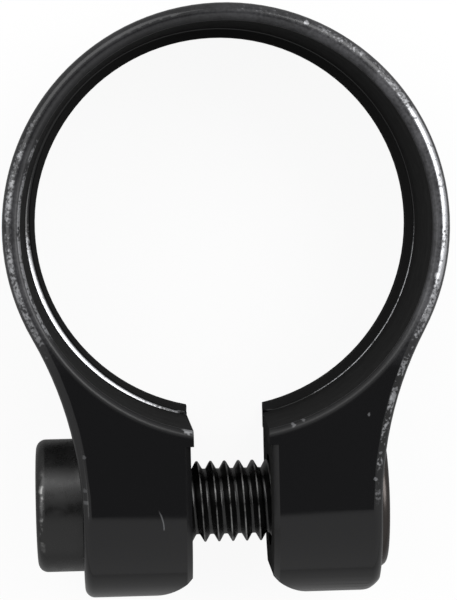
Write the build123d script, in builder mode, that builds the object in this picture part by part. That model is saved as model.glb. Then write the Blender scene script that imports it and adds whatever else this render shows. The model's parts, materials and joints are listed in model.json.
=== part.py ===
from build123d import *
from math import sqrt
import os

# Bolt-up seatpost clamp: a split collar with two ears, a cap bolt across them and a round nut.
# The bore runs along Z and opens upwards. Z = 0 is the shoulder that stops the seat tube.
# The ears point to -Y. The bolt runs along X, with its head at -X and its nut at +X.
# All sizes are in millimetres.

os.makedirs("parts", exist_ok=True)

# Collar
tube_d = 28.6  # seat tube that the bore grips
tube_depth = 12.0  # length of tube inside the collar
post_d = 27.2  # seatpost that passes the lip
post_clearance = 0.05  # between the post and the lip
lip_t = 1.3  # lip that stops the tube
ring_wall = 1.25
mouth_chamfer = 0.3  # lead-in for the tube
corner_chamfer = 0.3  # between the bore and the shoulder
rim_r = 0.7  # rounding of the outside edges
slit_w = 5.25  # cut through the ring, at the mouth
slit_draft = 0.2  # each side's widening from the mouth to the lip

# Ears
ear_gap = 5.7
ear_t = 7.63  # thickness of one ear along the bolt
neck_r = 26.0  # hollow curve from the ring to an ear's outer side
bolt_drop = 4.24  # from the outside of the ring to the bolt's axis
gap_chamfer = 0.4  # on the edges beside the gap
gap_inset = 0.4  # how far the gap reaches into the ring's wall
mouth_flare_w = 2.9  # curved flare of the gap at the ears' ends, across the gap
mouth_flare_l = 1.7  # and along it
mouth_flare_bulge = 0.3  # height of its arc

# Bolt, a socket cap screw
thread_d = 6.0
bolt_l = 18.0  # under the head
thread_end_chamfer = 0.6
bolt_hole_clearance = 0.3  # between the thread and the holes in the ears
head_d = 9.5
head_h = 6.0
head_sunk = 2.7  # part of the head inside the ear
head_clearance = 0.25
head_edge_chamfer = 0.6
socket_flats = 5.0  # hex key size
socket_depth = 3.2

# Nut, with a round head and a six-sided neck that keeps it from turning
nut_head_d = 10.0
nut_head_h = 2.6
nut_sunk = 1.88  # part of the head inside the ear
nut_edge_chamfer = 0.7
nut_mouth_chamfer = 0.4
nut_neck_flats = 8.0
nut_neck_l = 3.2
nut_clearance = 0.1  # around the head and the neck
nut_thread_clearance = 0.05

# How far a cutting shape reaches past what it cuts
overcut = 1.0

# Worked-out places
bore_r = tube_d / 2
lip_r = post_d / 2 + post_clearance
ring_r = bore_r + ring_wall
height = lip_t + tube_depth
middle_z = height / 2 - lip_t
bolt_y = -(ring_r + bolt_drop)
ear_end_y = bolt_y - height / 2
flank_x = ear_gap / 2 + ear_t
gap_top_y = -(ring_r - gap_inset)
head_seat_x = -(flank_x - head_sunk)
nut_seat_x = flank_x - nut_sunk

# The neck's arc touches the ring's circle and the ear's straight flank
neck_center_x = flank_x + neck_r
neck_center_y = -sqrt((ring_r + neck_r) ** 2 - neck_center_x**2)
ring_share = ring_r / (ring_r + neck_r)
touch_x = neck_center_x * ring_share
touch_y = neck_center_y * ring_share

# Local Z of this plane is the bolt's axis
bolt_plane = Plane(origin=(0, bolt_y, middle_z), x_dir=(0, 1, 0), z_dir=(1, 0, 0))

# Split collar, one piece with its ears
with BuildPart() as seat_collar:
    # Plan: ring, hollow necks and ears
    with BuildSketch(Plane.XY.offset(-lip_t - overcut)):
        with BuildLine():
            flank = Line((flank_x, ear_end_y - overcut), (flank_x, neck_center_y))
            neck = TangentArc(flank @ 1, (touch_x, touch_y), tangent=flank % 1)
            ThreePointArc(neck @ 1, (0, ring_r), (-touch_x, touch_y))
            mirror([flank, neck], about=Plane.YZ)
            Line((-flank_x, ear_end_y - overcut), flank @ 0)
        make_face()
    extrude(amount=height + 2 * overcut)

    # Side view: flat faces, with ear ends round about the bolt
    with BuildSketch(Plane.YZ):
        with Locations((bolt_y, middle_z)):
            Circle(height / 2)
            Rectangle(ring_r + overcut - bolt_y, height, align=(Align.MIN, Align.CENTER))
    extrude(amount=ring_r + overcut, both=True, mode=Mode.INTERSECT)

    # Edges along X and Z are only seams between tangent faces
    rims = seat_collar.edges().filter_by(Axis.X, reverse=True).filter_by(Axis.Z, reverse=True)
    fillet(rims, rim_r)

    # Gap between the ears, with chamfered edges
    with BuildSketch(Plane.XY.offset(-lip_t - overcut)):
        with Locations((0, gap_top_y)):
            Rectangle(ear_gap, gap_top_y - ear_end_y + overcut, align=(Align.CENTER, Align.MAX))
    extrude(amount=height + 2 * overcut, mode=Mode.SUBTRACT)
    gap_faces = seat_collar.faces().filter_by(Axis.X).sort_by(lambda face: abs(face.center().X))[:2]
    chamfer(gap_faces.edges().filter_by(Axis.Z, reverse=True), gap_chamfer)

    # Flared mouth of the gap, where the ears' ends are rounded off
    with BuildSketch(Plane.XY.offset(-lip_t - overcut)):
        with BuildLine():
            flare = SagittaArc(
                (ear_gap / 2 + mouth_flare_w, ear_end_y),
                (ear_gap / 2, ear_end_y + mouth_flare_l),
                mouth_flare_bulge,
            )
            run_out = Line(flare @ 0, flare @ 0 - flare % 0 * overcut)
            mirror([flare, run_out], about=Plane.YZ)
            Line(flare @ 1, (-ear_gap / 2, ear_end_y + mouth_flare_l))
            Line(run_out @ 1, (-(run_out @ 1).X, (run_out @ 1).Y))
        make_face()
    extrude(amount=height + 2 * overcut, mode=Mode.SUBTRACT)

    # Lip, shoulder, bore and chamfered mouth
    with BuildSketch(Plane.XZ):
        with BuildLine():
            Polyline(
                (0, -lip_t - overcut),
                (lip_r, -lip_t - overcut),
                (lip_r, 0),
                (bore_r - corner_chamfer, 0),
                (bore_r, corner_chamfer),
                (bore_r, tube_depth - mouth_chamfer),
                (bore_r + mouth_chamfer + overcut, tube_depth + overcut),
                (0, tube_depth + overcut),
                close=True,
            )
        make_face()
    revolve(axis=Axis.Z, mode=Mode.SUBTRACT)

    # Slit through the ring, from the bore to the gap
    with BuildSketch(Plane.XZ):
        with BuildLine():
            slit_side = Polyline(
                (slit_w / 2, tube_depth + overcut),
                (slit_w / 2, tube_depth),
                (slit_w / 2 + slit_draft, -lip_t),
                (slit_w / 2 + slit_draft, -lip_t - overcut),
            )
            mirror(slit_side, about=Plane.YZ)
            Line(slit_side @ 0, (-slit_w / 2, tube_depth + overcut))
            Line(slit_side @ 1, (-slit_w / 2 - slit_draft, -lip_t - overcut))
        make_face()
    extrude(amount=-gap_top_y, mode=Mode.SUBTRACT)

    # Clearance hole for the bolt through both ears
    with BuildSketch(bolt_plane):
        Circle(thread_d / 2 + bolt_hole_clearance)
    extrude(amount=flank_x + overcut, both=True, mode=Mode.SUBTRACT)

    # Round seats for the bolt's head and the nut's head, open to the outside
    with BuildSketch(bolt_plane.offset(head_seat_x)):
        Circle(head_d / 2 + head_clearance)
    extrude(amount=-head_h, mode=Mode.SUBTRACT)
    with BuildSketch(bolt_plane.offset(nut_seat_x)):
        Circle(nut_head_d / 2 + nut_clearance)
    extrude(amount=nut_head_h, mode=Mode.SUBTRACT)

    # Six-sided hole for the nut's neck
    with BuildSketch(bolt_plane.offset(nut_seat_x)):
        RegularPolygon(nut_neck_flats / 2 + nut_clearance, 6, major_radius=False)
    extrude(amount=-nut_neck_l - nut_clearance, mode=Mode.SUBTRACT)

# Cap bolt, its thread drawn plain at the major diameter
with BuildPart() as clamp_bolt:
    with BuildSketch(bolt_plane.offset(head_seat_x)):
        Circle(head_d / 2)
    extrude(amount=-head_h)
    chamfer(clamp_bolt.edges().sort_by(Axis.X)[0], head_edge_chamfer)

    with BuildSketch(bolt_plane.offset(head_seat_x - head_h)):
        RegularPolygon(socket_flats / 2, 6, major_radius=False)
    extrude(amount=socket_depth, mode=Mode.SUBTRACT)

    with BuildSketch(bolt_plane.offset(head_seat_x)):
        Circle(thread_d / 2)
    extrude(amount=bolt_l)
    chamfer(clamp_bolt.edges().sort_by(Axis.X)[-1], thread_end_chamfer)

# Round nut, its thread drawn plain at the major diameter
with BuildPart() as round_nut:
    with BuildSketch(bolt_plane.offset(nut_seat_x)):
        Circle(nut_head_d / 2)
    extrude(amount=nut_head_h)
    chamfer(round_nut.edges().sort_by(Axis.X)[-1], nut_edge_chamfer)

    with BuildSketch(bolt_plane.offset(nut_seat_x)):
        RegularPolygon(nut_neck_flats / 2, 6, major_radius=False)
    extrude(amount=-nut_neck_l)

    with BuildSketch(bolt_plane.offset(nut_seat_x - nut_neck_l)):
        Circle(thread_d / 2 + nut_thread_clearance)
    extrude(amount=nut_neck_l + nut_head_h, mode=Mode.SUBTRACT)
    nut_mouth = round_nut.faces().sort_by(Axis.X)[-1].inner_wires()[0].edges()
    chamfer(nut_mouth, nut_mouth_chamfer)

seat_collar.part.label = "seat_collar"
clamp_bolt.part.label = "clamp_bolt"
round_nut.part.label = "round_nut"

export_step(seat_collar.part, "parts/seat_collar.step")
export_step(clamp_bolt.part, "parts/clamp_bolt.step")
export_step(round_nut.part, "parts/round_nut.step")
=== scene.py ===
import json
from math import cos, hypot, pi, radians, sin, sqrt, tan

import bmesh
import bpy
from mathutils import Matrix, Vector


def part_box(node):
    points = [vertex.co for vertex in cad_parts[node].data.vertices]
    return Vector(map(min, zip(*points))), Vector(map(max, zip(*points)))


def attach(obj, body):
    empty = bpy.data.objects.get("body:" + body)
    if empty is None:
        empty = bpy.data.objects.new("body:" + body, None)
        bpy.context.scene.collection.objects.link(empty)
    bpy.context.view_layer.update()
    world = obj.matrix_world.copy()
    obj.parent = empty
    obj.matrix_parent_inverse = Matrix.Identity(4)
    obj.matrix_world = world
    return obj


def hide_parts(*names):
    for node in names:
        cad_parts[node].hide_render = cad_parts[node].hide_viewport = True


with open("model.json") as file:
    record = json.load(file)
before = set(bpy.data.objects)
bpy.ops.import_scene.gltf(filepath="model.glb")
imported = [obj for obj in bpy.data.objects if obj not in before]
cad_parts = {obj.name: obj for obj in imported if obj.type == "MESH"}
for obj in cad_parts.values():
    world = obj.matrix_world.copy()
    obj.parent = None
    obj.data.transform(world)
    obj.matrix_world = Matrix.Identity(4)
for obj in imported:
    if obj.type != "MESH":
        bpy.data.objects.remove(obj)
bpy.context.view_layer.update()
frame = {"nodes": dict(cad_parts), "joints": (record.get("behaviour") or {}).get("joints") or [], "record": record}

# Black seatpost clamp, lying on its lip: a painted collar, a cap bolt and a round nut.
# The bore runs along Z, the ears point to -Y, and the bolt runs along X from its head to its nut.

MM = 0.001

collar_low, collar_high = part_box("seat_collar")
bolt_low, bolt_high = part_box("clamp_bolt")
nut_low, nut_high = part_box("round_nut")
bolt_turn = next(joint for joint in frame["joints"] if joint["name"] == "bolt_turn")
axis = Vector(bolt_turn["pos_m"])
mounts = {mount["name"]: mount for mount in frame["record"]["mounts"]}
bore_r = mounts["seat_tube_bore"]["dims"]["r_mm"] * MM
ring_r = collar_high.y

# Collar
MOUTH_CHAMFER = 0.3 * MM  # lead-in for the tube
MOUTH_ROUNDING = 0.2 * MM  # reach of the rounding on each of the lead-in's two edges
MOUTH_SEGMENTS = 4
CORNER_CHAMFER = 0.3 * MM  # between the bore and the shoulder
FILL_NARROW = 0.09 * MM  # width of the paint in the shoulder's corner, most of the way round
FILL_WIDE = 0.4 * MM  # and where the paint has pooled
FILL_SLOPE = 0.47  # its height for each unit of width
POOL_AZIMUTH = radians(205)
EAR_SIDE = 10.48 * MM  # from the middle to the flat outer side of an ear
EAR_CORNER = 1.25 * MM  # reach of the rounding of the nut ear's outer end corner
EAR_CUTS = 6
FLAT_ANGLE = radians(0.3)  # faces that turn by less than this become one
FLARE_END = 6.5 * MM  # past the flare of the gap's mouth, from the middle
FLARE_TURN = 0.05  # least X in the normal of the flare
ROUND_END_TURN = 0.001  # most X in the normal of an ear's round end
GAP_END = 3.0 * MM  # past the walls of the gap and the slit, from the middle
SQUARE = 0.99  # least share of a face's normal along the axis that the face looks along
UPRIGHT = 0.1  # most Z in the normal of a wall
COLLAR_SHARP = 28  # degrees from which an edge stays crisp
LARGE_FACE_WEIGHT = 70  # how far large faces rule the shading of the edges beside them

# Thread, M6 x 1, right-handed
PITCH = 1.0 * MM
CREST_R = 2.9 * MM
ROOT_R = 2.35 * MM
CREST_X = -0.29 * MM  # a crest's place along the bolt, on its +Y side
TURN_STEPS = 48  # facets in one turn
TIP_CHAMFER = 0.6 * MM
THREAD_FIT = 0.06 * MM  # between the bolt's thread and the nut's
# One pitch of the thread: place along it, and height from root 0 to crest 1
THREAD_FORM = (
    (0.00, 0.0), (0.09, 0.0), (0.15, 0.07), (0.42, 0.93), (0.46, 1.0),
    (0.54, 1.0), (0.58, 0.93), (0.85, 0.07), (0.91, 0.0), (1.00, 0.0),
)

# Bolt head
HEAD_H = 6.0 * MM
HEAD_EDGE_R = 0.7 * MM
HEAD_UNDER_CHAMFER = 0.15 * MM
SOCKET_FLATS = 5.0 * MM
SOCKET_MOUTH_R = 3.05 * MM
SOCKET_MOUTH_SLOPE = 0.58  # depth of the socket's lead-in for each unit of radius
SOCKET_DEPTH = 3.2 * MM
SOCKET_POINT = 0.5 * MM  # drill point in its floor

# Nut
NUT_HEAD_H = 2.6 * MM
NUT_EDGE_R = 0.6 * MM
NUT_DOME = 0.06 * MM  # how far its face falls away to the edge
NUT_DOME_SHARE = 0.3  # part of that fall that is reached near the middle of its face
NUT_DOME_INSET = 0.2 * MM  # how far inside the middle of its face that is
NUT_LAND = 0.15 * MM  # flat ring round its mouth
NUT_MOUTH_CHAMFER = 0.4 * MM
NUT_NECK_FLATS = 8.0 * MM
NUT_NECK_CLEAR = 0.6 * NUT_NECK_FLATS  # radius just past the neck's corners

ROUND_STEPS = 72  # facets round a turned piece, a multiple of six for the hexagons
ARC_STEPS = 8  # facets in a rounded edge
TURNED_SHARP = 35  # degrees from which an edge of a turned piece stays crisp
TOUCH = 1e-6  # points nearer than this are one point
CUT_TOUCH = TOUCH / 10  # points nearer than this to a cut lie on it
LOOP_TOUCH = 10 * TOUCH  # points nearer than this to a circle lie on it


def turned(bm, profile):
    """Spins (x, radius) points about the bolt's axis into an open round shell."""
    points = [bm.verts.new((x, axis.y + radius, axis.z)) for x, radius in profile]
    lines = [bm.edges.new(pair) for pair in zip(points, points[1:])]
    bmesh.ops.spin(bm, geom=points + lines, cent=axis, axis=(1, 0, 0), angle=2 * pi,
                   steps=ROUND_STEPS, use_merge=True)


def rounded(x, radius, size, outwards):
    """Points of a quarter-round edge, from the cylinder to the end face at x."""
    turns = [pi / 2 * step / ARC_STEPS for step in range(ARC_STEPS + 1)]
    return [
        (x - outwards * size * (1 - sin(turn)), radius - size * (1 - cos(turn))) for turn in turns
    ]


def threaded(bm, low, high, grow, limit):
    """Winds the thread from low to high along X. limit gives the radius range at a place."""
    # The first turn begins at a root, far enough before low for the thread to be whole there
    start = CREST_X - PITCH * (0.5 + int((CREST_X - low) / PITCH + 2))
    turns = int((high - start) / PITCH) + 1
    points = [
        bm.verts.new((start + along * PITCH,
                      axis.y + ROOT_R + grow + up * (CREST_R - ROOT_R), axis.z))
        for along, up in THREAD_FORM
    ]
    lines = [bm.edges.new(pair) for pair in zip(points, points[1:])]
    bmesh.ops.spin(bm, geom=points + lines, cent=axis, axis=(1, 0, 0), angle=2 * pi * turns,
                   steps=TURN_STEPS * turns, dvec=(PITCH / TURN_STEPS, 0, 0))
    bmesh.ops.remove_doubles(bm, verts=bm.verts, dist=TOUCH)
    for vert in bm.verts:
        radius = hypot(vert.co.y - axis.y, vert.co.z - axis.z)
        least, most = limit(vert.co.x)
        scale = min(max(radius, least), most) / radius
        vert.co.y = axis.y + (vert.co.y - axis.y) * scale
        vert.co.z = axis.z + (vert.co.z - axis.z) * scale
    for place, outwards in ((low, -1), (high, 1)):
        bmesh.ops.bisect_plane(bm, geom=bm.verts[:] + bm.edges[:] + bm.faces[:], dist=CUT_TOUCH,
                               plane_co=(place, 0, 0), plane_no=(outwards, 0, 0), clear_outer=True)


def rim(bm, x):
    """Open edges that lie in the plane at x."""
    return [
        edge for edge in bm.edges
        if edge.is_boundary and all(abs(vert.co.x - x) < TOUCH for vert in edge.verts)
    ]


def pulled(bm, edges, x):
    """Extrudes a ring of edges to the plane at x and returns the new points and edges."""
    grown = bmesh.ops.extrude_edge_only(bm, edges=edges)["geom"]
    verts = [item for item in grown if isinstance(item, bmesh.types.BMVert)]
    for vert in verts:
        vert.co.x = x
    return verts, [item for item in grown if isinstance(item, bmesh.types.BMEdge)]


def to_hexagon(verts, flats):
    """Moves a ring of points onto a hexagon, straight in or out from the bolt's axis."""
    for vert in verts:
        arm = Vector((vert.co.y - axis.y, vert.co.z - axis.z))
        turn = arm.angle_signed(Vector((1, 0))) % (pi / 3) - pi / 6
        arm *= flats / 2 / cos(turn) / arm.length
        vert.co.y = axis.y + arm.x
        vert.co.z = axis.z + arm.y


def loop_at(bm, radius, height):
    """Points on a circle about the bore."""
    return [
        vert for vert in bm.verts
        if abs(hypot(vert.co.x, vert.co.y) - radius) < LOOP_TOUCH
        and abs(vert.co.z - height) < LOOP_TOUCH
    ]


def piece(bm, name, node, body, materials, sharp, creases=()):
    """Makes a mesh the piece for a node. Creases, and edges over sharp degrees, stay crisp."""
    bmesh.ops.recalc_face_normals(bm, faces=bm.faces)
    for face in bm.faces:
        face.smooth = True
    for edge in bm.edges:
        edge.smooth = edge.calc_face_angle(0) < radians(sharp) and edge not in creases
    mesh = bpy.data.meshes.new(name)
    bm.to_mesh(mesh)
    bm.free()
    # A copy of a CAD mesh brings normals of its own, which would hide the smoothing
    stored = mesh.attributes.get("custom_normal")
    if stored:
        mesh.attributes.remove(stored)
    for material in materials:
        mesh.materials.append(material)
    made = bpy.data.objects.new(name, mesh)
    bpy.context.collection.objects.link(made)
    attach(made, body)
    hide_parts(node)
    return made


def linear(code):
    """An sRGB hex colour as linear RGBA."""
    parts = [int(code[at:at + 2], 16) / 255 for at in (1, 3, 5)]
    return [
        part / 12.92 if part <= 0.04045 else ((part + 0.055) / 1.055) ** 2.4 for part in parts
    ] + [1]


def wire(node, inputs):
    """Sets a node's inputs, each to a value or to the socket that feeds it.

    Inputs go by name, or by number where a node has more than one of the name.
    """
    for name, value in inputs.items():
        if isinstance(value, bpy.types.NodeSocket):
            node.id_data.links.new(value, node.inputs[name])
        else:
            node.inputs[name].default_value = value


def add(tree, kind, inputs=None, out=0, **settings):
    """Adds a node with its settings and links, and returns one of its outputs."""
    node = tree.nodes.new(kind)
    for name, value in settings.items():
        setattr(node, name, value)
    wire(node, inputs or {})
    return node.outputs[out]


def surface(name):
    """A new material, its node tree and its shader."""
    made = bpy.data.materials.new(name)
    made.use_nodes = True
    return made, made.node_tree, made.node_tree.nodes["Principled BSDF"]


# Sockets of a Mix node that mixes colours, which have numbers but no names of their own
COLOUR_A, COLOUR_B, COLOUR_OUT = 6, 7, 2

# Where most values of a noise lie
NOISE_LOW, NOISE_HIGH = 0.3, 0.7

# Cast aluminium under gloss black paint. The paint is smooth with a faint orange peel, so it
# mirrors the studio dimly. The ring's front is painted lighter grey, partly real scuffing and partly a
# painted sheen, and edges that rub against things have worn through to bright metal.
PAINT, SCUFF_AND_SHEEN_GREY, BARE_METAL = "#141415", "#545457", "#c4c5c8"
PAINT_ROUGHNESS, SCUFFED_ROUGHNESS, BARE_ROUGHNESS = 0.13, 0.42, 0.36
PEEL_SIZE = 0.35 * MM
PEEL_DEPTH = 0.02 * MM
PEEL_STRENGTH = 0.06
PATCH_SIZE = 1.4 * MM  # of the worn patches
GRIT_SIZE = 0.2 * MM  # of the specks in them, drawn as coarse as they need to show
painted, tree, shader = surface("painted_aluminium")
spot = add(tree, "ShaderNodeTexCoord", out="Object")
facing = add(tree, "ShaderNodeTexCoord", out="Normal")
x, y, z = add(tree, "ShaderNodeSeparateXYZ", {"Vector": spot}).node.outputs
tilt = add(tree, "ShaderNodeSeparateXYZ", {"Vector": facing}, out="Z")
plan = add(tree, "ShaderNodeVectorMath", {0: spot, 1: (1, 1, 0)}, operation="MULTIPLY")
radius = add(tree, "ShaderNodeVectorMath", {0: plan}, out="Value", operation="LENGTH")
outwards = add(tree, "ShaderNodeVectorMath", {0: plan}, operation="NORMALIZE")
patches = add(tree, "ShaderNodeTexNoise", {"Vector": spot, "Scale": 1 / PATCH_SIZE})
grit = add(tree, "ShaderNodeTexNoise", {"Vector": spot, "Scale": 1 / GRIT_SIZE})
grain = add(tree, "ShaderNodeMath", {0: patches, 1: grit}, operation="ADD")
near_front = add(tree, "ShaderNodeMapRange",
                 {"Value": z, "From Min": 10.5 * MM, "From Max": 11 * MM})

# Three places that wear: the rim's rounding where it leans out by about 10 to 45 degrees, the inner
# edge of the lead-in, and the filled corner at the shoulder
leaning = add(tree, "ShaderNodeMapRange", {"Value": tilt, "From Min": 0.996, "From Max": 0.98})
short_of_wall = add(tree, "ShaderNodeMapRange",
                    {"Value": tilt, "From Min": 0.66, "From Max": 0.76})
outside = add(tree, "ShaderNodeMapRange",
              {"Value": radius, "From Min": ring_r - 0.8 * MM, "From Max": ring_r - 0.65 * MM})
above_end = add(tree, "ShaderNodeMapRange",
                {"Value": y, "From Min": axis.y, "From Max": axis.y + 1 * MM})
rim_band = leaning
for mask in (short_of_wall, outside, above_end):
    rim_band = add(tree, "ShaderNodeMath", {0: rim_band, 1: mask}, operation="MULTIPLY")
inner_edge = add(tree, "ShaderNodeMapRange",
                 {"Value": radius, "From Min": bore_r + 0.2 * MM, "From Max": bore_r + 0.14 * MM})
mouth_band = add(tree, "ShaderNodeMath", {0: inner_edge, 1: near_front}, operation="MULTIPLY")
low = add(tree, "ShaderNodeMapRange", {"Value": z, "From Min": 0.4 * MM, "From Max": 0.3 * MM})
inside = add(tree, "ShaderNodeMapRange",
             {"Value": radius, "From Min": bore_r + 0.2 * MM, "From Max": bore_r + 0.1 * MM})
past_lip = add(tree, "ShaderNodeMapRange",
               {"Value": radius, "From Min": bore_r - 0.5 * MM, "From Max": bore_r - 0.4 * MM})
corner_band = leaning
for mask in (short_of_wall, low, inside, past_lip):
    corner_band = add(tree, "ShaderNodeMath", {0: corner_band, 1: mask}, operation="MULTIPLY")

# Where each is worn: the azimuth, the cosines between which it fades, how much of the paint is
# gone, and how bare it is there
WORN_FROM, WORN_TO = 1.17, 1.42  # of the grain, with the amount added
bare = 0.0
for place, azimuth, wide, narrow, amount, bareness in (
    (rim_band, 7, 0.80, 0.93, 0.5, 1.0),
    (rim_band, 52, 0.80, 0.93, 0.14, 0.5),
    (rim_band, -36, 0.86, 0.95, 0.2, 0.6),
    (rim_band, 181, 0.78, 0.93, 0.26, 0.5),
    (mouth_band, 183, 0.82, 0.95, 0.26, 0.9),
    (corner_band, 219, 0.70, 0.93, 0.6, 1.0),
    (corner_band, -34, 0.78, 0.95, 0.5, 0.7),
):
    side = (cos(radians(azimuth)), sin(radians(azimuth)), 0)
    towards = add(tree, "ShaderNodeVectorMath", {0: outwards, 1: side}, out="Value",
                  operation="DOT_PRODUCT")
    near = add(tree, "ShaderNodeMapRange",
               {"Value": towards, "From Min": wide, "From Max": narrow})
    worn = add(tree, "ShaderNodeMath", {0: near, 1: amount, 2: grain}, operation="MULTIPLY_ADD")
    worn = add(tree, "ShaderNodeMapRange",
               {"Value": worn, "From Min": WORN_FROM, "From Max": WORN_TO, "To Max": bareness})
    for mask in (place, near):
        worn = add(tree, "ShaderNodeMath", {0: worn, 1: mask}, operation="MULTIPLY")
    bare = add(tree, "ShaderNodeMath", {0: bare, 1: worn}, operation="MAXIMUM")

# The ring's front, from its mouth to its rim, painted lighter grey: partly real scuffing and partly a
# painted sheen, a little all round and more on the right and the left. Each row gives the azimuth,
# the cosines between which it fades and the amount.
scuff_and_sheen = 0.15
for azimuth, wide, narrow, amount in ((5, -0.3, 0.8, 0.85), (188, 0.75, 0.95, 0.5)):
    side = (cos(radians(azimuth)), sin(radians(azimuth)), 0)
    towards = add(tree, "ShaderNodeVectorMath", {0: outwards, 1: side}, out="Value",
                  operation="DOT_PRODUCT")
    rubbing_and_sheen = add(tree, "ShaderNodeMapRange",
                  {"Value": towards, "From Min": wide, "From Max": narrow, "To Max": amount})
    scuff_and_sheen = add(tree, "ShaderNodeMath", {0: scuff_and_sheen, 1: rubbing_and_sheen}, operation="MAXIMUM")
upwards = add(tree, "ShaderNodeMapRange", {"Value": tilt, "From Min": 0.3, "From Max": 0.75})
on_ring = add(tree, "ShaderNodeMapRange",
              {"Value": radius, "From Min": ring_r + 0.3 * MM, "From Max": ring_r - 0.1 * MM})
off_ears = add(tree, "ShaderNodeMapRange",
               {"Value": y, "From Min": -10 * MM, "From Max": -5 * MM})
cloudy = add(tree, "ShaderNodeMapRange",
             {"Value": grain, "From Min": 0.75, "From Max": 1.2, "To Min": 0.3})
for mask in (upwards, on_ring, off_ears, cloudy, near_front):
    scuff_and_sheen = add(tree, "ShaderNodeMath", {0: scuff_and_sheen, 1: mask}, operation="MULTIPLY")

# Single chips, each with its place and radius in millimetres and how bare it is
CHIP_RAGGED = 0.2 * MM  # how far the grit moves a chip's edge
CHIP_CORE = 0.6  # part of a chip's radius in which it is barest
ragged = add(tree, "ShaderNodeMapRange",
             {"Value": grit, "To Min": -CHIP_RAGGED, "To Max": CHIP_RAGGED})
for chip_x, chip_y, chip_r, bareness in (
    (-2.95, -13.85, 0.45, 0.9), (-10.26, -15.66, 0.16, 0.1), (-10.26, -18.01, 0.16, 0.1),
    (-10.23, -18.85, 0.18, 0.12), (4.3, -13.8, 0.16, 0.25), (5.0, -13.5, 0.12, 0.2),
    (9.97, -17.75, 0.16, 0.25), (10.36, -15.89, 0.12, 0.2), (9.6, -13.2, 0.12, 0.2),
    (5.8, 14.0, 0.2, 0.6), (13.1, 7.6, 0.25, 0.9), (14.6, -3.65, 0.3, 1.0),
):
    away = add(tree, "ShaderNodeVectorMath", {0: plan, 1: (chip_x * MM, chip_y * MM, 0)},
               out="Value", operation="DISTANCE")
    away = add(tree, "ShaderNodeMath", {0: away, 1: ragged}, operation="ADD")
    chip = add(tree, "ShaderNodeMapRange",
               {"Value": away, "From Min": chip_r * MM, "From Max": chip_r * CHIP_CORE * MM,
                "To Max": bareness})
    chip = add(tree, "ShaderNodeMath", {0: chip, 1: near_front}, operation="MULTIPLY")
    bare = add(tree, "ShaderNodeMath", {0: bare, 1: chip}, operation="MAXIMUM")

# One thin curved scratch on the left ear, an arc's right and upper part
SCRATCH_AT = Vector((-7.32, -20.83, 0)) * MM
SCRATCH_R = 2.48 * MM
SCRATCH_EDGE, SCRATCH_CORE = 0.06 * MM, 0.02 * MM  # half-widths where it begins and is barest
SCRATCH_BARE = 0.2
away = add(tree, "ShaderNodeVectorMath", {0: plan, 1: SCRATCH_AT}, out="Value",
           operation="DISTANCE")
away = add(tree, "ShaderNodeMath", {0: away, 1: SCRATCH_R}, operation="SUBTRACT")
away = add(tree, "ShaderNodeMath", {0: away}, operation="ABSOLUTE")
scratch = add(tree, "ShaderNodeMapRange",
              {"Value": away, "From Min": SCRATCH_EDGE, "From Max": SCRATCH_CORE,
               "To Max": SCRATCH_BARE})
right_part = add(tree, "ShaderNodeMapRange",
                 {"Value": x, "From Min": -5.2 * MM, "From Max": -5.0 * MM})
upper_part = add(tree, "ShaderNodeMapRange",
                 {"Value": y, "From Min": -20.95 * MM, "From Max": -20.85 * MM})
for mask in (right_part, upper_part, near_front):
    scratch = add(tree, "ShaderNodeMath", {0: scratch, 1: mask}, operation="MULTIPLY")
bare = add(tree, "ShaderNodeMath", {0: bare, 1: scratch}, operation="MAXIMUM")

# The ring's front takes the lighter grey: partly real scuffing, partly a painted sheen.
colour = add(tree, "ShaderNodeMix",
             {"Factor": scuff_and_sheen, COLOUR_A: linear(PAINT), COLOUR_B: linear(SCUFF_AND_SHEEN_GREY)},
             out=COLOUR_OUT, data_type="RGBA")
colour = add(tree, "ShaderNodeMix",
             {"Factor": bare, COLOUR_A: colour, COLOUR_B: linear(BARE_METAL)},
             out=COLOUR_OUT, data_type="RGBA")

# The lead-in is as dull as a scuff, though it keeps the paint's black
lead_in = add(tree, "ShaderNodeMapRange",
              {"Value": radius, "From Min": bore_r + 0.6 * MM, "From Max": bore_r + 0.4 * MM})
dull = add(tree, "ShaderNodeMath", {0: lead_in, 1: near_front}, operation="MULTIPLY")
dull = add(tree, "ShaderNodeMath", {0: dull, 1: scuff_and_sheen}, operation="MAXIMUM")
roughness = add(tree, "ShaderNodeMapRange",
                {"Value": dull, "To Min": PAINT_ROUGHNESS, "To Max": SCUFFED_ROUGHNESS})
roughness = add(tree, "ShaderNodeMix", {"Factor": bare, "A": roughness, "B": BARE_ROUGHNESS})
peel = add(tree, "ShaderNodeTexNoise", {"Vector": spot, "Scale": 1 / PEEL_SIZE})
relief = add(tree, "ShaderNodeBump",
             {"Height": peel, "Strength": PEEL_STRENGTH, "Distance": PEEL_DEPTH})
wire(shader, {"Base Color": colour, "Metallic": bare, "Roughness": roughness, "Normal": relief})

# Inside the bore and the gap the paint is thin and dull, over faint turned rings in the bore.
# Its blacks are painted lighter than the outer paint: a painted lift for the shade in these hollows.
THIN_PAINT_SHADE_LIFT, TURNED_RING_SHADE_LIFT = "#252525", "#2d2d2d"
SMEAR_SIZE = 1.2 * MM
RING_SIZE = 1.1 * MM
dull_shade_lift, tree, shader = surface("dull_paint_shade_lift")
spot = add(tree, "ShaderNodeTexCoord", out="Object")
smear = add(tree, "ShaderNodeTexNoise", {"Vector": spot, "Scale": 1 / SMEAR_SIZE, "Detail": 4})
roughness = add(tree, "ShaderNodeMapRange",
                {"Value": smear, "From Min": NOISE_LOW, "From Max": NOISE_HIGH,
                 "To Min": 0.7, "To Max": 0.85})
depth = add(tree, "ShaderNodeVectorMath", {0: spot, 1: (0, 0, 1)}, operation="MULTIPLY")
rings = add(tree, "ShaderNodeTexNoise", {"Vector": depth, "Scale": 1 / RING_SIZE, "Detail": 3})
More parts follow.
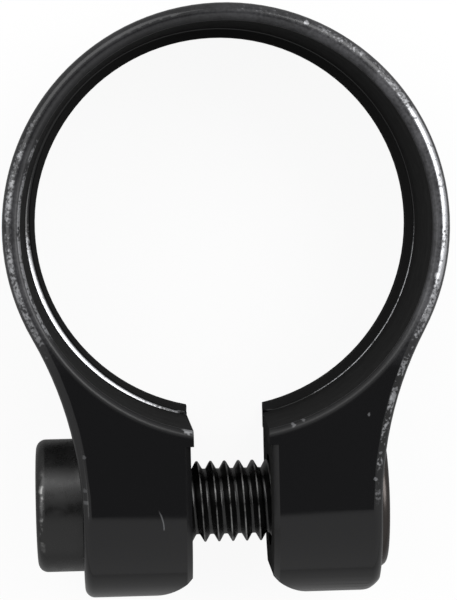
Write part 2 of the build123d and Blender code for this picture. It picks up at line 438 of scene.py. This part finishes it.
rings = add(tree, "ShaderNodeMapRange",
            {"Value": rings, "From Min": NOISE_LOW, "From Max": NOISE_HIGH})
colour = add(tree, "ShaderNodeMix",
             {"Factor": rings, COLOUR_A: linear(THIN_PAINT_SHADE_LIFT), COLOUR_B: linear(TURNED_RING_SHADE_LIFT)},
             out=COLOUR_OUT, data_type="RGBA")
wire(shader, {"Base Color": colour, "Specular IOR Level": 0.02, "Roughness": roughness})

# Steel under black oxide: a thin dark film, turned smooth, that still shines like metal. It is
# rubbed lighter on the thread's crests and in blotches on the rounding of the head's end.
OXIDE, RUBBED_STEEL = "#454545", "#a2a2a1"
MOTTLE_SIZE = 0.8 * MM
oxide, tree, shader = surface("black_oxide_steel")
spot = add(tree, "ShaderNodeTexCoord", out="Object")
mottle = add(tree, "ShaderNodeTexNoise",
             {"Vector": spot, "Scale": 1 / MOTTLE_SIZE, "Detail": 4, "Roughness": 0.6})
roughness = add(tree, "ShaderNodeMapRange",
                {"Value": mottle, "From Min": NOISE_LOW, "From Max": NOISE_HIGH,
                 "To Min": 0.23, "To Max": 0.34})
facing = add(tree, "ShaderNodeTexCoord", out="Normal")
lean = add(tree, "ShaderNodeSeparateXYZ", {"Vector": facing}, out="X")
level = add(tree, "ShaderNodeSeparateXYZ", {"Vector": spot}, out="Z")
past_side = add(tree, "ShaderNodeMapRange", {"Value": lean, "From Min": -0.1, "From Max": -0.3})
short_of_end = add(tree, "ShaderNodeMapRange",
                   {"Value": lean, "From Min": -0.75, "From Max": -0.5})
on_top = add(tree, "ShaderNodeMapRange",
             {"Value": level, "From Min": axis.z + 3.6 * MM, "From Max": axis.z + 4.3 * MM})
blotch = add(tree, "ShaderNodeMapRange", {"Value": mottle, "From Min": 0.5, "From Max": 0.64})
worn = past_side
for mask in (short_of_end, on_top, blotch):
    worn = add(tree, "ShaderNodeMath", {0: worn, 1: mask}, operation="MULTIPLY")
reach = add(tree, "ShaderNodeVectorMath", {0: spot, 1: (0, 1, 1)}, operation="MULTIPLY")
reach = add(tree, "ShaderNodeVectorMath", {0: reach, 1: (0, axis.y, axis.z)}, out="Value",
            operation="DISTANCE")
near_crest = add(tree, "ShaderNodeMapRange",
                 {"Value": reach, "From Min": CREST_R - 0.06 * MM, "From Max": CREST_R - 0.01 * MM})
on_thread = add(tree, "ShaderNodeMapRange",
                {"Value": reach, "From Min": CREST_R + 0.2 * MM, "From Max": CREST_R + 0.1 * MM})
patchy = add(tree, "ShaderNodeMapRange",
             {"Value": mottle, "From Min": 0.35, "From Max": 0.65, "To Min": 0.1, "To Max": 0.9})
crest = add(tree, "ShaderNodeMath", {0: near_crest, 1: on_thread}, operation="MULTIPLY")
crest = add(tree, "ShaderNodeMath", {0: crest, 1: patchy}, operation="MULTIPLY")
worn = add(tree, "ShaderNodeMath", {0: worn, 1: crest}, operation="MAXIMUM")
colour = add(tree, "ShaderNodeMix",
             {"Factor": worn, COLOUR_A: linear(OXIDE), COLOUR_B: linear(RUBBED_STEEL)},
             out=COLOUR_OUT, data_type="RGBA")
wire(shader, {"Base Color": colour, "Metallic": 1.0, "Roughness": roughness})

# The nut's steel is the same, with its oxide rubbed thinner and warmer all over.
RUBBED_OXIDE = "#4b4745"
rubbed, tree, shader = surface("rubbed_oxide_steel")
spot = add(tree, "ShaderNodeTexCoord", out="Object")
mottle = add(tree, "ShaderNodeTexNoise",
             {"Vector": spot, "Scale": 1 / MOTTLE_SIZE, "Detail": 4, "Roughness": 0.6})
roughness = add(tree, "ShaderNodeMapRange",
                {"Value": mottle, "From Min": NOISE_LOW, "From Max": NOISE_HIGH,
                 "To Min": 0.22, "To Max": 0.34})
wire(shader, {"Base Color": linear(RUBBED_OXIDE), "Metallic": 1.0, "Roughness": roughness})

# Collar: a merged copy of the solid's mesh
bm = bmesh.new()
bm.from_mesh(frame["nodes"]["seat_collar"].data)
bmesh.ops.remove_doubles(bm, verts=bm.verts, dist=2 * TOUCH)

# Paint fills the corner at the shoulder
fill_top = loop_at(bm, bore_r, CORNER_CHAMFER)
fill_foot = loop_at(bm, bore_r - CORNER_CHAMFER, 0)
pool_side = Vector((cos(POOL_AZIMUTH), sin(POOL_AZIMUTH)))
for vert in fill_top + fill_foot:
    pooling = max(0, vert.co.xy.normalized().dot(pool_side)) ** 2
    width = FILL_NARROW + (FILL_WIDE - FILL_NARROW) * pooling
    if vert in fill_top:
        vert.co.z = width * FILL_SLOPE
    else:
        vert.co.xy *= (bore_r - width) / (bore_r - CORNER_CHAMFER)

# The outer corner of the nut ear's end is rounded further
for cut in range(1, EAR_CUTS + 1):
    inset = EAR_CORNER * cut / EAR_CUTS
    for place, across in (
        ((0, collar_low.y + inset, 0), (0, 1, 0)),
        ((EAR_SIDE - inset, 0, 0), (1, 0, 0)),
    ):
        ear = [face for face in bm.faces
               if face.calc_center_median().y < axis.y and face.calc_center_median().x > 0]
        edges = {edge for face in ear for edge in face.edges}
        verts = {vert for face in ear for vert in face.verts}
        bmesh.ops.bisect_plane(bm, geom=list(verts) + list(edges) + ear, dist=CUT_TOUCH,
                               plane_co=place, plane_no=across)
for vert in bm.verts:
    along = (vert.co.x - EAR_SIDE) / EAR_CORNER + 1
    down = (collar_low.y - vert.co.y) / EAR_CORNER + 1
    if along > 0 and down > 0:
        vert.co.x = EAR_SIDE + EAR_CORNER * (along * sqrt(1 - down**2 / 2) - 1)
        vert.co.y = collar_low.y - EAR_CORNER * (down * sqrt(1 - along**2 / 2) - 1)

bmesh.ops.dissolve_limit(bm, angle_limit=FLAT_ANGLE, verts=bm.verts, edges=bm.edges)

# The lead-in at the mouth is rounded by its paint
lead_in_edges = []
for loop_r, loop_z in (
    (bore_r, collar_high.z - MOUTH_CHAMFER), (bore_r + MOUTH_CHAMFER, collar_high.z),
):
    loop = set(loop_at(bm, loop_r, loop_z))
    lead_in_edges += [edge for edge in bm.edges if loop.issuperset(edge.verts)]
bmesh.ops.bevel(bm, geom=lead_in_edges, offset=MOUTH_ROUNDING, offset_type="OFFSET",
                affect="EDGES", segments=MOUTH_SEGMENTS, profile=0.5, material=-1,
                clamp_overlap=True)

# The flare at the gap's mouth meets the ears' round ends in a crease, even where they are nearly
# in line
bm.normal_update()
creases = set()
for edge in bm.edges:
    middle = (edge.verts[0].co + edge.verts[1].co) / 2
    if middle.y < axis.y and abs(middle.x) < FLARE_END:
        turns = sorted(abs(face.normal.x) for face in edge.link_faces)
        if turns[0] < ROUND_END_TURN and turns[-1] > FLARE_TURN:
            creases.add(edge)
collar = piece(bm, "split_collar", "seat_collar", "collar", (painted, dull_shade_lift),
               COLLAR_SHARP, creases)
# The bore, the gap and the shoulder take the dull paint, with its painted lift for their shade.
for face in collar.data.polygons:
    on_shoulder = face.normal.z > SQUARE and abs(face.center.z) < TOUCH
    in_bore = hypot(face.center.x, face.center.y) < bore_r and abs(face.normal.z) < UPRIGHT
    in_gap = abs(face.center.x) < GAP_END and abs(face.normal.x) > SQUARE
    if on_shoulder or in_bore or in_gap:
        face.material_index = collar.data.materials.find(dull_shade_lift.name)
soften = collar.modifiers.new("soft_edges", "WEIGHTED_NORMAL")
soften.weight = LARGE_FACE_WEIGHT
soften.keep_sharp = True

# Bolt
head_seat = bolt_low.x + HEAD_H
head_r = (bolt_high.y - bolt_low.y) / 2
bm = bmesh.new()
threaded(bm, head_seat, bolt_high.x, 0,
         lambda at: (0, CREST_R - max(0, at - bolt_high.x + TIP_CHAMFER)))
bmesh.ops.contextual_create(bm, geom=rim(bm, bolt_high.x))
turned(bm, [(head_seat, head_r - HEAD_UNDER_CHAMFER), (head_seat - HEAD_UNDER_CHAMFER, head_r)]
       + rounded(bolt_low.x, head_r, HEAD_EDGE_R, -1) + [(bolt_low.x, SOCKET_MOUTH_R)])
bmesh.ops.triangle_fill(bm, edges=rim(bm, head_seat), use_beauty=True)
mouth, mouth_edges = pulled(bm, rim(bm, bolt_low.x), bolt_low.x)
to_hexagon(mouth, SOCKET_FLATS)
for vert in mouth:
    inset = SOCKET_MOUTH_R - hypot(vert.co.y - axis.y, vert.co.z - axis.z)
    vert.co.x = bolt_low.x + inset * SOCKET_MOUTH_SLOPE
_, floor_edges = pulled(bm, mouth_edges, bolt_low.x + SOCKET_DEPTH)
socket_floor = bmesh.ops.contextual_create(bm, geom=floor_edges)["faces"]
drill_point = bmesh.ops.poke(bm, faces=socket_floor)["verts"]
bmesh.ops.translate(bm, vec=(SOCKET_POINT, 0, 0), verts=drill_point)
piece(bm, "cap_bolt", "clamp_bolt", "bolt", (oxide,), TURNED_SHARP)

# Nut
nut_seat = nut_high.x - NUT_HEAD_H
nut_r = (nut_high.y - nut_low.y) / 2
nut_mouth_r = CREST_R + THREAD_FIT + NUT_MOUTH_CHAMFER
bm = bmesh.new()
threaded(bm, nut_low.x, nut_high.x, THREAD_FIT,
         lambda at: (nut_mouth_r - (nut_high.x - at), nut_mouth_r))
turned(bm, [(nut_seat, NUT_NECK_CLEAR), (nut_seat, nut_r)]
       + rounded(nut_high.x - NUT_DOME, nut_r, NUT_EDGE_R, 1)
       + [(nut_high.x - NUT_DOME * NUT_DOME_SHARE, (nut_r + nut_mouth_r) / 2 - NUT_DOME_INSET),
          (nut_high.x, nut_mouth_r + NUT_LAND)])
bmesh.ops.triangle_fill(bm, edges=rim(bm, nut_high.x), use_beauty=True)
neck, neck_edges = pulled(bm, rim(bm, nut_seat), nut_seat)
to_hexagon(neck, NUT_NECK_FLATS)
pulled(bm, neck_edges, nut_low.x)
bmesh.ops.triangle_fill(bm, edges=rim(bm, nut_low.x), use_beauty=True)
piece(bm, "round_headed_nut", "round_nut", "nut", (rubbed,), TURNED_SHARP)

# Pale floor, which the camera sees as white with the clamp's faint shadow on it
FLOOR_SIZE = 3.0
FLOOR_PALE, FLOOR_SEEN = "#a0a0a0", "#ffffff"  # as it lights the clamp, and as the camera sees it
SEEN_GLOW = 0.92  # part of plain white in what the camera sees of it
MIRRORED_GLOW = 0.05  # and in what the clamp mirrors of it
bm = bmesh.new()
bmesh.ops.create_grid(bm, x_segments=1, y_segments=1, size=FLOOR_SIZE / 2)
bmesh.ops.translate(bm, vec=(0, 0, collar_low.z), verts=bm.verts)
floor_mesh = bpy.data.meshes.new("floor")
bm.to_mesh(floor_mesh)
bm.free()
floor = bpy.data.objects.new("floor", floor_mesh)
bpy.context.collection.objects.link(floor)
pale, tree, shader = surface("pale_floor")
glow = add(tree, "ShaderNodeEmission", {"Strength": 1.0})
seen = add(tree, "ShaderNodeLightPath", out="Is Camera Ray")
colour = add(tree, "ShaderNodeMix",
             {"Factor": seen, COLOUR_A: linear(FLOOR_PALE), COLOUR_B: linear(FLOOR_SEEN)},
             out=COLOUR_OUT, data_type="RGBA")
wire(shader, {"Base Color": colour, "Roughness": 0.9})
mirrored = add(tree, "ShaderNodeLightPath", out="Is Glossy Ray")
refracted = add(tree, "ShaderNodeLightPath", out="Is Transmission Ray")
mirrored = add(tree, "ShaderNodeMath", {0: mirrored, 1: refracted}, operation="MAXIMUM")
mirrored = add(tree, "ShaderNodeMath", {0: mirrored, 1: MIRRORED_GLOW}, operation="MULTIPLY")
seen = add(tree, "ShaderNodeMath", {0: seen, 1: SEEN_GLOW}, operation="MULTIPLY")
glowing = add(tree, "ShaderNodeMath", {0: mirrored, 1: seen}, operation="MAXIMUM")
lit = add(tree, "ShaderNodeMixShader", {"Fac": glowing, 1: shader.outputs["BSDF"], 2: glow})
wire(tree.nodes["Material Output"], {"Surface": lit})
floor_mesh.materials.append(pale)

# Studio: a dim ceiling straight above and brighter walls.
# Each stop is how steeply one looks up, from level 0 to straight up 1, and the brightness there.
WALL_STOPS = ((0.0, 0.5), (0.25, 0.55), (0.55, 0.55), (0.968, 0.5), (0.980, 0.03))
CEILING = 0.02
world = bpy.data.worlds.new("studio")
bpy.context.scene.world = world
world.use_nodes = True
tree = world.node_tree
direction = add(tree, "ShaderNodeTexCoord", out="Generated")
steepness = add(tree, "ShaderNodeSeparateXYZ", {"Vector": direction}, out="Z")
walls = add(tree, "ShaderNodeValToRGB", {"Fac": steepness})
stops = walls.node.color_ramp.elements
for at, brightness in WALL_STOPS:
    stops.new(at).color = (brightness, brightness, brightness, 1)
# Of the two stops that the ramp came with, the first goes and the last is the ceiling
stops.remove(stops[0])
stops[-1].color = (CEILING, CEILING, CEILING, 1)
wire(tree.nodes["Background"], {"Color": walls})

# Two softboxes, the key light high on the right and a weaker one on the left.
# Each is given by its direction, its half-angles as the clamp sees it, and its brightness.
LAMP_FAR = 0.45
for name, azimuth, polar, half_wide, half_high, radiance in (
    ("key_softbox", 30, 43, 25, 17, 3.5),
    ("left_softbox", 145, 47, 35, 17, 1.7),
):
    light = bpy.data.lights.new(name, "AREA")
    light.shape = "RECTANGLE"
    light.size = 2 * LAMP_FAR * tan(radians(half_wide))
    light.size_y = 2 * LAMP_FAR * tan(radians(half_high))
    light.energy = radiance * pi * light.size * light.size_y
    lamp = bpy.data.objects.new(name, light)
    bpy.context.collection.objects.link(lamp)
    out_to_lamp = Vector((sin(radians(polar)) * cos(radians(azimuth)),
                          sin(radians(polar)) * sin(radians(azimuth)), cos(radians(polar))))
    lamp.location = LAMP_FAR * out_to_lamp
    lamp.rotation_euler = out_to_lamp.to_track_quat("Z", "Y").to_euler()

# Camera, above the bore and a little to the left
CAMERA_AT = Vector((-7.45, 4.9, 199.0)) * MM
CAMERA_AIM = Vector((-0.01, -5.0, 12.0)) * MM
CAMERA_LENS, CAMERA_SENSOR = 162.6, 36.0  # focal length and sensor width, in millimetres
CAMERA_NEAR = 10 * MM
CAMERA_ROLL = radians(1.3)
lens = bpy.data.cameras.new("camera")
lens.sensor_width = CAMERA_SENSOR
lens.lens = CAMERA_LENS
lens.clip_start = CAMERA_NEAR
camera = bpy.data.objects.new("camera", lens)
bpy.context.collection.objects.link(camera)
back = (CAMERA_AT - CAMERA_AIM).normalized()
up = Vector((sin(CAMERA_ROLL), cos(CAMERA_ROLL), 0))
right = up.cross(back).normalized()
up = back.cross(right)
turn = Matrix((right, up, back)).transposed().to_4x4()
camera.matrix_world = Matrix.Translation(CAMERA_AT) @ turn
bpy.context.scene.camera = camera
bpy.context.scene.view_settings.view_transform = "Standard"
